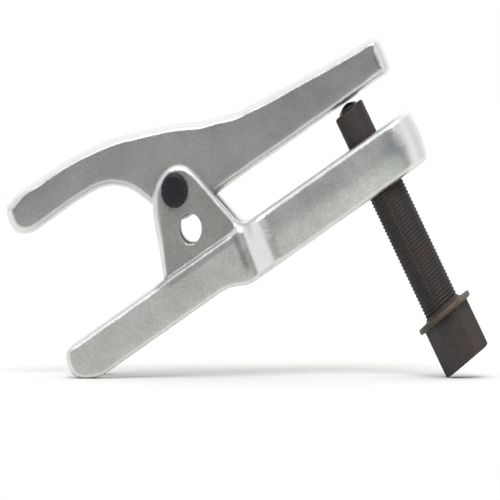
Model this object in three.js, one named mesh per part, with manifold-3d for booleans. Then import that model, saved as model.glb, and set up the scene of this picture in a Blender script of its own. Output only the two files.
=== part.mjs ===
// Ball joint separator: a forged fork body, a forged rocking arm on a cross pin,
// and a forcing screw that lifts the rear of the arm so that its nose presses down over the fork.
// Millimetres, +Z up. X runs along the tool from the jaws (-X) to the screw head (+X),
// Y across it. The tool stands on its two fork tips and one corner of the screw head.

import * as THREE from "three";
import { mergeVertices } from "three/addons/utils/BufferGeometryUtils.js";
import Module from "manifold-3d";

const wasm = await Module();
wasm.setup();

// ---------------------------------------------------------------- dimensions
const SHIFT_X = 0.4029;             // puts the middle of the whole tool on X = 0
const SHIFT_Z = -0.012;             // and its three feet on Z = 0

// fork body, in its own frame: u along the beam, y across, n square to the beam
const BODY_TILT = 27.9 * Math.PI / 180;
const TOP_N = 53.6;                 // top face of rails and beam
const RAIL_BOTTOM_N = 36.1;         // underside of the fork and rails
const BEAM_BOTTOM_N = 31.3;         // underside of the rear beam, one step lower
const FORK_HALF = 22;               // half of the 44 mm overall width
const SLOT_HALF = 10;               // half of the 20 mm fork slot
const TIP_U = -82.0;                // plan only: the side outline rounds the tips off
const CROTCH_U = -29;               // bottom of the fork slot
const SHOULDER_U = 24.5;            // where the rails start to narrow
const BEAM_START_U = 36;
const BEAM_HALF = 14;
const BEAM_END_U = 123.5;
const BODY_DRAFT = 0.4;             // side taper from the parting line to the top and bottom
const BODY_EDGE = 2.4;              // forged edge radius

// clevis ears
const PIN_X = -37.2, PIN_Z = 73.45;
const SPARE_X = -29.1, SPARE_Z = 58.4;
const EAR_INNER = 11, EAR_OUTER = 20.3;
const PIN_BORE_R = 6.35, SPARE_BORE_R = 6.15;
const POCKET_N = 52.0;              // floor between the ears

// rocking arm
const ARM_HALF = 10;
const ARM_DRAFT = 1.1, ARM_EDGE = 2.6;
const ARM_HUB_BORE_R = 6.35;

// pin
const PIN_R = 6.0, PIN_HEAD_R = 6.9, PIN_HEAD_T = 3.45, PIN_END_Y = 24.1;
const WASHER_T = 1.2, WASHER_R = 10, RING_T = 1.0;

// forcing screw, in its own frame: +z towards its nose, nose tip at z = 0
const SCREW_TILT = 32.34 * Math.PI / 180;
const NOSE_GAP = 0.5;               // between the nose and the underside of the arm
const CONTACT_X = 50.45, CONTACT_Z = 106.79;
const THREAD_MAJOR_R = 9.525, THREAD_MINOR_R = 8.6, PITCH = 1.5875;   // 3/4 in, 16 to the inch
const SHOULDER_Z = -2.5, PILOT_R = 8.0, THREAD_TOP_Z = -21.0;
const COLLAR_TOP_Z = -94.7, COLLAR_R = 15.0, COLLAR_T = 2.5;
const HEAD_END_Z = -118.614, HEX_AF = 22;
const SCREW_BORE_R = 9.9;           // hole in the beam, clear of the thread crests

// ---------------------------------------------------------------- helpers
const solid = (geo) => {
  const g = geo.index ? geo.toNonIndexed() : geo.clone();
  for (const k of Object.keys(g.attributes)) if (k !== "position") g.deleteAttribute(k);
  const m = mergeVertices(g, 1e-4);
  const idx = m.index.array, keep = [];
  for (let i = 0; i < idx.length; i += 3) {
    const [a, b, c] = [idx[i], idx[i + 1], idx[i + 2]];
    if (a !== b && b !== c && c !== a) keep.push(a, b, c);
  }
  return new wasm.Manifold(new wasm.Mesh({
    numProp: 3,
    vertProperties: new Float32Array(m.attributes.position.array),
    triVerts: new Uint32Array(keep),
  }));
};

const geometry = (man) => {
  const m = man.getMesh();
  const g = new THREE.BufferGeometry();
  g.setAttribute("position", new THREE.BufferAttribute(new Float32Array(m.vertProperties), 3));
  g.setIndex(new THREE.BufferAttribute(new Uint32Array(m.triVerts), 1));
  g.computeVertexNormals();
  return g;
};

const signedArea = (p) => {
  let a = 0;
  for (let i = 0; i < p.length; i++) {
    const q = p[(i + 1) % p.length];
    a += p[i][0] * q[1] - q[0] * p[i][1];
  }
  return a / 2;
};

const anticlockwise = (p) => (signedArea(p) < 0 ? p.slice().reverse() : p);

// distance from a point to a closed loop
const distanceTo = (x, y, loop) => {
  let best = Infinity;
  for (let i = 0; i < loop.length; i++) {
    const [ax, ay] = loop[i], [bx, by] = loop[(i + 1) % loop.length];
    const dx = bx - ax, dy = by - ay, l2 = dx * dx + dy * dy || 1e-12;
    const t = Math.min(1, Math.max(0, ((x - ax) * dx + (y - ay) * dy) / l2));
    best = Math.min(best, Math.hypot(x - ax - t * dx, y - ay - t * dy));
  }
  return best;
};

// moves an anticlockwise loop inwards, one point for one point; points that pass
// each other at a tight corner all go to the corner of the smaller loop
const insetLoop = (loop, d) => {
  if (d <= 0) return loop.map((p) => p.slice());
  const n = loop.length;
  const out = loop.map((p, i) => {
    const a = loop[(i + n - 1) % n], b = loop[(i + 1) % n];
    const e1 = [p[0] - a[0], p[1] - a[1]], e2 = [b[0] - p[0], b[1] - p[1]];
    const l1 = Math.hypot(...e1) || 1e-9, l2 = Math.hypot(...e2) || 1e-9;
    const n1 = [-e1[1] / l1, e1[0] / l1], n2 = [-e2[1] / l2, e2[0] / l2];
    let m = [n1[0] + n2[0], n1[1] + n2[1]];
    const lm = Math.hypot(...m) || 1e-9;
    m = [m[0] / lm, m[1] / lm];
    const k = Math.max(0.35, m[0] * n1[0] + m[1] * n1[1]);
    return [p[0] + m[0] * d / k, p[1] + m[1] * d / k];
  });
  const ok = out.map(([x, y]) => distanceTo(x, y, loop) > d - 0.003);
  if (ok.every((v) => v)) return out;
  const first = ok.indexOf(true);
  for (let s = 0; s < n;) {
    const i = (first + s) % n;
    if (ok[i]) { s++; continue; }
    let e = s;
    while (!ok[(first + e) % n]) e++;
    const a1 = out[(first + s - 2 + n) % n], a2 = out[(first + s - 1 + n) % n];
    const b1 = out[(first + e + 1) % n], b2 = out[(first + e) % n];
    const d1 = [a2[0] - a1[0], a2[1] - a1[1]], d2 = [b2[0] - b1[0], b2[1] - b1[1]];
    const det = d1[0] * d2[1] - d1[1] * d2[0];
    let q = [(a2[0] + b2[0]) / 2, (a2[1] + b2[1]) / 2];
    if (Math.abs(det) > 1e-6) {
      const t = ((b2[0] - a2[0]) * d2[1] - (b2[1] - a2[1]) * d2[0]) / det;
      const c = [a2[0] + d1[0] * t, a2[1] + d1[1] * t];
      if (Math.hypot(c[0] - q[0], c[1] - q[1]) < 3 * d) q = c;
    }
    for (let k = s; k < e; k++) out[(first + k) % n] = q.slice();
    s = e;
  }
  return out;
};

// closed solid between copies of one loop at several heights; place(p, h) gives the 3-D point
const loft = (loop, levels, place) => {
  const base = anticlockwise(loop), n = base.length;
  const rings = levels.map(([h, inset]) => insetLoop(base, inset).map((p) => place(p, h)));
  const pos = [];
  const tri = (a, b, c) => pos.push(...a, ...b, ...c);
  for (let k = 0; k + 1 < rings.length; k++)
    for (let i = 0; i < n; i++) {
      const j = (i + 1) % n;
      tri(rings[k][i], rings[k][j], rings[k + 1][j]);
      tri(rings[k][i], rings[k + 1][j], rings[k + 1][i]);
    }
  const cap = (level) => {
    const flat = insetLoop(base, level[1]).map((p) => new THREE.Vector2(...p));
    const uniq = [], back = [];
    flat.forEach((p, i) => {
      if (!uniq.length || p.distanceTo(uniq[uniq.length - 1]) > 1e-5) { uniq.push(p); back.push(i); }
    });
    if (uniq.length > 1 && uniq[0].distanceTo(uniq[uniq.length - 1]) < 1e-5) { uniq.pop(); back.pop(); }
    // points on a straight edge are nudged while the face is divided, so that none is skipped
    const nudged = uniq.map((p, i) => new THREE.Vector2(p.x + 2e-3 * Math.sin(i * 12.99), p.y + 2e-3 * Math.sin(i * 78.23)));
    return THREE.ShapeUtils.triangulateShape(nudged, []).map((f) => f.map((v) => back[v]));
  };
  const last = rings.length - 1;
  for (const [a, b, c] of cap(levels[0])) tri(rings[0][a], rings[0][c], rings[0][b]);
  for (const [a, b, c] of cap(levels[last])) tri(rings[last][a], rings[last][b], rings[last][c]);
  const g = new THREE.BufferGeometry();
  g.setAttribute("position", new THREE.Float32BufferAttribute(pos, 3));
  return solid(g);
};

// side-view loop (x, z) stacked along y; the loop is given in x, z and y grows away from the viewer
const acrossY = (loop, levels) => loft(
  loop, levels.map(([y, i]) => [-y, i]).sort((a, b) => a[0] - b[0]), ([x, z], h) => [x, -h, z]);

const cosB = Math.cos(BODY_TILT), sinB = Math.sin(BODY_TILT);
const fromBody = (u, y, n) => [u * cosB - n * sinB, y, u * sinB + n * cosB];
const alongN = (loop, levels) => loft(loop, levels, ([u, y], n) => fromBody(u, y, n));

const smoothLoop = (points, count) => {
  const c = new THREE.CatmullRomCurve3(points.map(([x, z]) => new THREE.Vector3(x, z, 0)), true, "centripetal");
  return c.getSpacedPoints(count).slice(0, count).map((p) => [p.x, p.y]);
};

const arc = (cx, cy, r, a0, a1, steps) => {
  const out = [];
  for (let i = 0; i <= steps; i++) {
    const a = (a0 + (a1 - a0) * i / steps) * Math.PI / 180;
    out.push([cx + r * Math.cos(a), cy + r * Math.sin(a)]);
  }
  return out;
};

const lathe = (profile, segments = 48) => {
  // profile is r, z from the axis to the axis, lowest z first; the axis of the solid is +z
  const g = new THREE.LatheGeometry(profile.map(([r, z]) => new THREE.Vector2(r, z)), segments);
  g.rotateX(Math.PI / 2);
  return solid(g);
};

const cylinderY = (x, z, r, y0, y1, segments = 48) => {
  const g = new THREE.CylinderGeometry(r, r, y1 - y0, segments);
  g.translate(x, (y0 + y1) / 2, z);
  return solid(g);
};

// ---------------------------------------------------------------- fork body
const edgeLevels = (bottom, top) => [
  [bottom, BODY_DRAFT + BODY_EDGE],
  [bottom + BODY_EDGE * 0.3, BODY_DRAFT + BODY_EDGE * 0.3],
  [bottom + BODY_EDGE, BODY_DRAFT * 0.75],
  [(bottom + top) / 2, 0],
  [top - BODY_EDGE, BODY_DRAFT * 0.75],
  [top - BODY_EDGE * 0.3, BODY_DRAFT + BODY_EDGE * 0.3],
  [top, BODY_DRAFT + BODY_EDGE],
];

// outline seen square to the top face: fork, rails, shoulder, beam and its round end
const SHOULDER = [
  ...arc(SHOULDER_U - 1, FORK_HALF - 4, 4, 90, 40, 3),
  [BEAM_START_U - 2, 15.2], [BEAM_START_U + 1.5, BEAM_HALF + 0.15], [BEAM_START_U + 6, BEAM_HALF],
];
const bodyPlan = [
  ...arc(TIP_U + 7, FORK_HALF - 7, 7, 180, 90, 8),
  [TIP_U + 20, FORK_HALF], [SHOULDER_U - 2, FORK_HALF],
  ...SHOULDER,
  ...arc(BEAM_END_U - BEAM_HALF, 0, BEAM_HALF, 90, -90, 24),
  ...SHOULDER.map(([u, y]) => [u, -y]).reverse(),
  [SHOULDER_U - 2, -FORK_HALF], [TIP_U + 20, -FORK_HALF],
  ...arc(TIP_U + 7, -(FORK_HALF - 7), 7, -90, -180, 8),
  ...arc(TIP_U + 3, -(SLOT_HALF + 3), 3, 180, 90, 4),
  ...arc(CROTCH_U - SLOT_HALF, 0, SLOT_HALF, -90, 90, 14),
  ...arc(TIP_U + 3, SLOT_HALF + 3, 3, -90, -180, 4),
];

// side outline in u, n: round fork tips that stand on the ground, and the step under the shoulder
const bodySide = [
  [-75.4, TOP_N + 6], [-75.4, TOP_N], [-77.6, 52.8], [-79.1, 50.9], [-79.9, 47.8], [-79.4, 44.4],
  [-77.9, 41.9], [-75.3, 39.95], [-72.5, 38.4], [-69, 36.95], [-65.5, RAIL_BOTTOM_N],
  [-64, RAIL_BOTTOM_N - 0.1], [5, RAIL_BOTTOM_N - 0.1], [9, 35.4], [13, 34.0], [17, 32.4],
  [20.5, 31.6], [24.5, BEAM_BOTTOM_N - 0.4], [27, BEAM_BOTTOM_N - 6], [130, BEAM_BOTTOM_N - 6], [130, TOP_N + 6],
];

const EAR_A = [-43.3, 41.6];        // foot of the front edge
const EAR_B = [-4.2, 60.6];         // foot of the rear edge
const earTop = new THREE.CatmullRomCurve3([
  [-22.0, 76.1], [-26.8, 80.1], [-32.0, 82.85], [-37.6, 82.95], [-42.6, 80.95], [-46.6, 77.0], [-48.6, 72.4],
  [-48.7, 66.6], [-48.0, 61.2]].map(([x, z]) => new THREE.Vector3(x, z, 0)), false, "centripetal");
const earLoop = [
  ...earTop.getPoints(26).map((p) => [p.x, p.y]), EAR_A, [-41.8, 36.6], [-1.5, 54.5], [-1.2, 58.6], EAR_B,
];
const earLevels = [[EAR_INNER, 1.2], [EAR_INNER + 1.2, 0], [EAR_OUTER - 2.8, 0.2], [EAR_OUTER - 0.9, 1.2], [EAR_OUTER, 2.9]];

const bodyBlock = () => {
  const forging = alongN(bodyPlan, edgeLevels(BEAM_BOTTOM_N, TOP_N));
  const side = loft(bodySide, [[-22.7, 2.7], [-21.6, 1.2], [-19.4, 0], [19.4, 0], [21.6, 1.2], [22.7, 2.7]],
    ([u, n], h) => fromBody(u, -h, n));
  const farEar = acrossY(earLoop, earLevels);
  const nearEar = acrossY(earLoop, earLevels.map(([y, i]) => [-y, i]));
  let body = forging.intersect(side).add(farEar).add(nearEar);

  // floor between the ears, low enough for the arm's hub on the spare hole
  const pocket = loft([[-25, POCKET_N], [15, POCKET_N], [20, TOP_N + 1], [20, TOP_N + 8], [-25, TOP_N + 8]],
    [[-10.7, 0], [10.7, 0]], ([u, n], h) => fromBody(u, -h, n));
  body = body.subtract(pocket);

  for (const [x, z, r] of [[PIN_X, PIN_Z, PIN_BORE_R], [SPARE_X, SPARE_Z, SPARE_BORE_R]])
    body = body.subtract(cylinderY(x, z, r, -40, 40));

  const bore = new THREE.CylinderGeometry(SCREW_BORE_R, SCREW_BORE_R, 80, 48);
  bore.rotateX(Math.PI / 2);
  bore.translate(0, 0, -30);
  return body.subtract(solid(toScrewFrame(bore)));
};

// ---------------------------------------------------------------- rocking arm
const armOutline = [
  // crest of the back, from the nose to the rear
  [-123.4, 67.9], [-117.6, 72.4], [-108.0, 76.9], [-99.6, 81.4], [-91.4, 85.1], [-83.0, 88.4], [-74.7, 91.2],
  [-66.5, 93.5], [-58.2, 95.0], [-49.9, 96.5], [-41.6, 97.9], [-33.3, 98.8], [-25.0, 99.3], [-16.7, 101.0],
  [-8.4, 102.5], [-4.2, 103.6], [0.0, 105.3], [8.2, 108.2], [16.5, 111.6], [24.8, 115.2], [33.1, 118.6],
  [41.4, 122.1], [49.7, 125.7], [58.0, 129.3], [62.2, 131.3],
  // rear end, square to the back
  [65.4, 132.15], [67.2, 131.8], [68.6, 130.1], [70.9, 126.4], [73.0, 122.6], [73.5, 120.7], [73.0, 119.2],
  // straight underside that the screw bears on, down to the hub
  [70.6, 117.6], [66.2, 115.3], [58.0, 110.9], [50.0, 106.55], [41.4, 101.9], [33.1, 97.6], [24.8, 93.1],
  [16.5, 88.8], [8.2, 84.6], [0.0, 80.2], [-8.4, 75.7], [-16.4, 71.3], [-23.2, 67.2],
  // hub round the pin
  [-28.0, 63.8], [-32.6, 61.7], [-37.2, 61.0], [-42.0, 62.0], [-46.3, 64.6], [-50.6, 67.6],
  // throat and nose
  [-54.4, 69.9], [-58.5, 72.1], [-62.6, 73.6], [-66.7, 74.2], [-70.6, 74.4], [-74.7, 73.9], [-79.0, 72.7],
  [-83.0, 71.0], [-91.4, 67.0], [-99.6, 62.5], [-103.8, 60.2], [-108.0, 58.0], [-112.2, 56.2], [-116.2, 55.6],
  [-119.6, 56.0], [-121.9, 57.4], [-124.3, 61.0], [-125.4, 64.6], [-125.0, 66.4],
];

const armLoop = smoothLoop(armOutline, 150);
const armLevels = [
  [-ARM_HALF, ARM_DRAFT + ARM_EDGE], [-ARM_HALF + ARM_EDGE * 0.3, ARM_DRAFT + ARM_EDGE * 0.3],
  [-ARM_HALF + ARM_EDGE, ARM_DRAFT * 0.75], [0, 0], [ARM_HALF - ARM_EDGE, ARM_DRAFT * 0.75],
  [ARM_HALF - ARM_EDGE * 0.3, ARM_DRAFT + ARM_EDGE * 0.3], [ARM_HALF, ARM_DRAFT + ARM_EDGE],
];

const armBlock = () => acrossY(armLoop, armLevels)
  .subtract(cylinderY(PIN_X, PIN_Z, ARM_HUB_BORE_R, -20, 20));

// ---------------------------------------------------------------- pin set
const pinSolid = () => {
  const y0 = -(EAR_OUTER + 0.35), end = PIN_END_Y;
  const g0 = EAR_OUTER + 0.35 + WASHER_T + 0.1, g1 = g0 + RING_T + 0.6;
  return [
    [0, y0 - PIN_HEAD_T], [PIN_HEAD_R - 1.5, y0 - PIN_HEAD_T], [PIN_HEAD_R - 0.5, y0 - PIN_HEAD_T + 0.5],
    [PIN_HEAD_R, y0 - PIN_HEAD_T + 1.4], [PIN_HEAD_R, y0], [PIN_R, y0],
    [PIN_R, g0], [PIN_R - 0.9, g0], [PIN_R - 0.9, g1], [PIN_R, g1], [PIN_R, end - 0.9], [PIN_R - 0.9, end], [0, end],
  ];
};

const ringC = (rIn, rOut, t, gapDeg, segments) => {
  const a0 = gapDeg / 2, a1 = 360 - gapDeg / 2;
  const loop = [...arc(0, 0, rOut, a0, a1, segments), ...arc(0, 0, rIn, a1, a0, segments)];
  return loft(loop, [[0, 0], [t, 0]], ([x, y], h) => [x, y, h]);
};

// turns a solid made along +z so that it lies along +y at the pin
const alongPin = (man) => {
  const g = geometry(man);
  g.rotateX(-Math.PI / 2);
  return g;
};

// ---------------------------------------------------------------- forcing screw
// the screw frame stands on the point where its nose meets the arm
function toScrewFrame(g) {
  g.rotateY(-SCREW_TILT);
  g.translate(CONTACT_X + Math.sin(SCREW_TILT) * NOSE_GAP, 0, CONTACT_Z - Math.cos(SCREW_TILT) * NOSE_GAP);
  return g;
}

const threadSolid = () => {
  const seg = 22, z0 = COLLAR_TOP_Z - 1.2, z1 = THREAD_TOP_Z + 1.5;
  const count = Math.ceil((z1 - z0) / PITCH) * seg;
  const ring = [];
  for (let k = 0; k <= count + seg; k++) {
    const a = 2 * Math.PI * k / seg, z = z0 - PITCH + PITCH * k / seg;
    const at = (r, dz) => [r * Math.cos(a), r * Math.sin(a), z + dz * PITCH];
    ring.push([at(THREAD_MINOR_R, 0), at(THREAD_MAJOR_R, 0.42), at(THREAD_MAJOR_R, 0.58)]);
  }
  const pos = [], tri = (a, b, c) => pos.push(...a, ...b, ...c);
  const quad = (a, b, c, d) => { tri(a, b, c); tri(a, c, d); };
  for (let k = 0; k < count; k++) {
    const [r0, a0, b0] = ring[k], [r1, a1, b1] = ring[k + 1];
    quad(r0, r1, a1, a0);
    quad(a0, a1, b1, b0);
    quad(b0, b1, ring[k + 1 + seg][0], ring[k + seg][0]);
  }
  const low = [0, 0, ring[0][0][2] - 3], high = [0, 0, ring[count + seg][0][2] + 3];
  for (let k = 0; k < seg; k++) {
    tri(low, ring[k + 1][0], ring[k][0]);
    tri(high, ring[count + k][0], ring[count + k + 1][0]);
  }
  const step = [ring[0][0], ring[0][1], ring[0][2], ring[seg][0]];
  const top = [ring[count][0], ring[count][1], ring[count][2], ring[count + seg][0]];
  for (let i = 0; i < 3; i++) {
    tri(low, step[i], step[i + 1]);
    tri(high, top[i + 1], top[i]);
  }
  const g = new THREE.BufferGeometry();
  g.setAttribute("position", new THREE.Float32BufferAttribute(pos, 3));
  const trim = lathe([[0, COLLAR_TOP_Z - 0.6], [9.8, COLLAR_TOP_Z - 0.6], [9.8, THREAD_TOP_Z - 1.9],
    [8.1, THREAD_TOP_Z], [0, THREAD_TOP_Z]], 44);
  return solid(g).intersect(trim);
};

const screwSolid = () => {
  const pilot = lathe([[0, THREAD_TOP_Z - 2.5], [PILOT_R, THREAD_TOP_Z - 2.5], [PILOT_R, SHOULDER_Z - 1.1],
    [PILOT_R - 0.35, SHOULDER_Z - 0.35], [PILOT_R - 1.1, SHOULDER_Z], [0, SHOULDER_Z]]);
  const collar = lathe([[0, COLLAR_TOP_Z - COLLAR_T - 0.4], [12.2, COLLAR_TOP_Z - COLLAR_T - 0.4],
    [13.1, COLLAR_TOP_Z - COLLAR_T + 0.5], [COLLAR_R - 0.1, COLLAR_TOP_Z - 1.3], [COLLAR_R, COLLAR_TOP_Z - 0.9],
    [COLLAR_R - 0.3, COLLAR_TOP_Z - 0.5], [11, COLLAR_TOP_Z], [0, COLLAR_TOP_Z]]);
  const neck = lathe([[0, COLLAR_TOP_Z - 1], [10.0, COLLAR_TOP_Z - 1], [9.6, COLLAR_TOP_Z + 0.8], [8.3, COLLAR_TOP_Z + 2.2], [0, COLLAR_TOP_Z + 2.2]]);
  const cornerR = HEX_AF / Math.sqrt(3);
  const hexLoop = [0, 60, 120, 180, 240, 300].map((d) => [cornerR * Math.cos(d * Math.PI / 180), cornerR * Math.sin(d * Math.PI / 180)]);
  const hex = loft(hexLoop, [[HEAD_END_Z, 0], [COLLAR_TOP_Z - COLLAR_T + 0.3, 0]], ([x, y], h) => [x, y, h]);
  const chamfer = lathe([[0, HEAD_END_Z], [11.3, HEAD_END_Z], [13.2, HEAD_END_Z + 1.05], [13.2, COLLAR_TOP_Z], [0, COLLAR_TOP_Z]]);
  // blind hole for the stem of the thrust point, with the groove for its snap ring
  const socket = lathe([[0, -12.9], [3.35, -12.9], [3.35, -9.55], [4.25, -9.55], [4.25, -7.85], [3.35, -7.85],
    [3.35, SHOULDER_Z - 0.4], [3.8, SHOULDER_Z + 1], [0, SHOULDER_Z + 1]]);
  return threadSolid().add(pilot).add(collar).add(neck).add(hex.intersect(chamfer)).subtract(socket);
};

const thrustSolid = () => lathe([
  [0, -12.3], [2.5, -12.3], [3.0, -11.8], [3.0, -9.45], [2.3, -9.45], [2.3, -7.95], [3.0, -7.95], [3.0, SHOULDER_Z + 0.3],
  [5.1, SHOULDER_Z + 0.3], [5.0, -1.8], [3.5, -0.95], [2.35, -0.42], [1.4, -0.14], [0.8, -0.04], [0, 0]]);

const snapRing = () => {
  const g = geometry(ringC(2.62, 3.9, 1.0, 50, 22));
  g.translate(0, 0, -9.2);
  return g;
};

// ---------------------------------------------------------------- assembly
const forged = (name, hex) => new THREE.MeshStandardMaterial({ name, color: hex, roughness: 0.42, metalness: 0.85 });
const black = (name, hex) => new THREE.MeshStandardMaterial({ name, color: hex, roughness: 0.6, metalness: 0.6 });

const separator = new THREE.Group();
separator.position.set(SHIFT_X, 0, SHIFT_Z);

const put = (name, geo, material, parent = separator) => {
  const mesh = new THREE.Mesh(geo, material);
  mesh.name = name;
  parent.add(mesh);
  return mesh;
};

put("lower_body", geometry(bodyBlock()), forged("forged_body", 0xa6a6a4));
put("upper_arm", geometry(armBlock()), forged("forged_arm", 0x939392));

const pinGroup = new THREE.Group();
pinGroup.position.set(PIN_X, 0, PIN_Z);
separator.add(pinGroup);
put("pivot_pin", alongPin(lathe(pinSolid())), black("pin_black", 0x26262c), pinGroup);

const washer = alongPin(lathe([[6.35, 0], [WASHER_R - 0.3, 0], [WASHER_R, 0.3], [WASHER_R, WASHER_T - 0.3],
  [WASHER_R - 0.3, WASHER_T], [6.35, WASHER_T], [6.35, 0]]));
washer.translate(0, EAR_OUTER + 0.35, 0);
put("pin_washer", washer, black("washer_black", 0x303034), pinGroup);

const clip = alongPin(ringC(5.42, 8.2, RING_T, 46, 30));
clip.translate(0, EAR_OUTER + 0.35 + WASHER_T + 0.4, 0);
put("pin_retaining_ring", clip, black("ring_black", 0x2b2b2f), pinGroup);

const screwGroup = new THREE.Group();
screwGroup.position.set(CONTACT_X + Math.sin(SCREW_TILT) * NOSE_GAP, 0, CONTACT_Z - Math.cos(SCREW_TILT) * NOSE_GAP);
screwGroup.rotation.y = -SCREW_TILT;
separator.add(screwGroup);
put("pressure_screw", geometry(screwSolid()), black("screw_black", 0x423c3a), screwGroup);
put("thrust_point", geometry(thrustSolid()), black("thrust_point_steel", 0x5a554c), screwGroup);
put("thrust_snap_ring", snapRing(), black("snap_ring_steel", 0x6a6a6c), screwGroup);

export default separator;
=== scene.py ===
# Ball joint separator: forged fork body, forged rocking arm, cross pin and forcing screw.
import math

import bmesh
import bpy
import numpy as np
from mathutils import Matrix, Vector


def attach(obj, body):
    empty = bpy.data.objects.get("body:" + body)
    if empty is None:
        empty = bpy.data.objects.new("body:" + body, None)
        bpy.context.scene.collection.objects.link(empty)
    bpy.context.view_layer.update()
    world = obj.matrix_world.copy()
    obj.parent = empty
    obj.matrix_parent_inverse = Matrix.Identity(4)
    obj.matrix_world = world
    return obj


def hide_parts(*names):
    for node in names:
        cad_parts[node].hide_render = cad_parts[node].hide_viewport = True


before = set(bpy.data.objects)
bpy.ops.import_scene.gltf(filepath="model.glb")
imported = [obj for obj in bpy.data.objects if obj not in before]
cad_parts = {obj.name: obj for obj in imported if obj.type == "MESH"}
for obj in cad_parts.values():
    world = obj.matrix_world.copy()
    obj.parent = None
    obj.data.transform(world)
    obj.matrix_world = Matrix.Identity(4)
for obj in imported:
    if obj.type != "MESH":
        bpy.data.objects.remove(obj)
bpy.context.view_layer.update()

rad = math.radians
MM = 0.001

# ---------------------------------------------------------------- the sizes of part.mjs, in millimetres
SHIFT = np.array([0.4029, 0.0, -0.012])
BODY_TILT = rad(27.9)
COS_B, SIN_B = math.cos(BODY_TILT), math.sin(BODY_TILT)
TOP_N, RAIL_BOTTOM_N, BEAM_BOTTOM_N, PARTING_N = 53.6, 35.9, 31.4, 42.0
FORK_HALF, SLOT_HALF, BEAM_HALF = 22.0, 10.0, 14.0
TIP_U, CROTCH_U, SHOULDER_U, BEAM_START_U, BEAM_END_U = -82.0, -29.0, 24.5, 36.0, 123.5
PIN_X, PIN_Z, SPARE_X, SPARE_Z = -37.2, 73.45, -29.1, 58.4
EAR_INNER, EAR_OUTER = 11.0, 20.3
PIN_BORE_R, SPARE_BORE_R, POCKET_N = 6.35, 6.0, 52.0
ARM_HALF = 10.0
SCREW_TILT = rad(32.34)
SIN_S, COS_S = math.sin(SCREW_TILT), math.cos(SCREW_TILT)
SCREW_X, SCREW_Z = 50.45 + SIN_S * 0.5, 106.79 - COS_S * 0.5
MAJOR_R, MINOR_R, PITCH = 9.34, 8.90, 1.5875
THREAD_TOP_Z, COLLAR_TOP_Z, HEAD_END_Z, SHOULDER_Z = -21.0, -94.7, -118.614, -2.5
HEX_AF = 22.0

STEP = 0.6      # grid of the forgings


# ---------------------------------------------------------------- flat outlines and their distances
def arc(cx, cy, r, a0, a1, steps):
    a = np.radians(np.linspace(a0, a1, steps + 1))
    return [(cx + r * math.cos(t), cy + r * math.sin(t)) for t in a]


def smooth_loop(points, per_span=4):
    """Centripetal spline through a closed list of points."""
    p = np.asarray(points, float)
    n, out = len(p), []
    for i in range(n):
        q = [p[(i + k - 1) % n] for k in range(4)]
        t = [0.0]
        for a, b in zip(q, q[1:]):
            t.append(t[-1] + max(np.hypot(*(b - a)) ** 0.5, 1e-4))
        for s in np.linspace(t[1], t[2], per_span, endpoint=False):
            a1 = (t[1] - s) / (t[1] - t[0]) * q[0] + (s - t[0]) / (t[1] - t[0]) * q[1]
            a2 = (t[2] - s) / (t[2] - t[1]) * q[1] + (s - t[1]) / (t[2] - t[1]) * q[2]
            a3 = (t[3] - s) / (t[3] - t[2]) * q[2] + (s - t[2]) / (t[3] - t[2]) * q[3]
            b1 = (t[2] - s) / (t[2] - t[0]) * a1 + (s - t[0]) / (t[2] - t[0]) * a2
            b2 = (t[3] - s) / (t[3] - t[1]) * a2 + (s - t[1]) / (t[3] - t[1]) * a3
            out.append((t[2] - s) / (t[2] - t[1]) * b1 + (s - t[1]) / (t[2] - t[1]) * b2)
    return np.array(out)


def loop_distance(x, y, loop):
    """Signed distance to a closed outline, negative inside."""
    a = np.asarray(loop, float)
    b = np.roll(a, -1, 0)
    d = b - a
    l2 = np.maximum((d * d).sum(1), 1e-12)
    dy = np.where(np.abs(d[:, 1]) < 1e-12, 1e-12, d[:, 1])
    out = np.empty(len(x))
    for s in range(0, len(x), 16384):
        px, py = x[s:s + 16384, None], y[s:s + 16384, None]
        t = np.clip(((px - a[:, 0]) * d[:, 0] + (py - a[:, 1]) * d[:, 1]) / l2, 0, 1)
        near = ((px - a[:, 0] - t * d[:, 0]) ** 2 + (py - a[:, 1] - t * d[:, 1]) ** 2).min(1)
        over = (a[:, 1] > py) != (b[:, 1] > py)
        hits = (over & (px < a[:, 0] + (py - a[:, 1]) * d[:, 0] / dy)).sum(1)
        out[s:s + 16384] = np.sqrt(near) * np.where(hits % 2 == 1, -1.0, 1.0)
    return out


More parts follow.
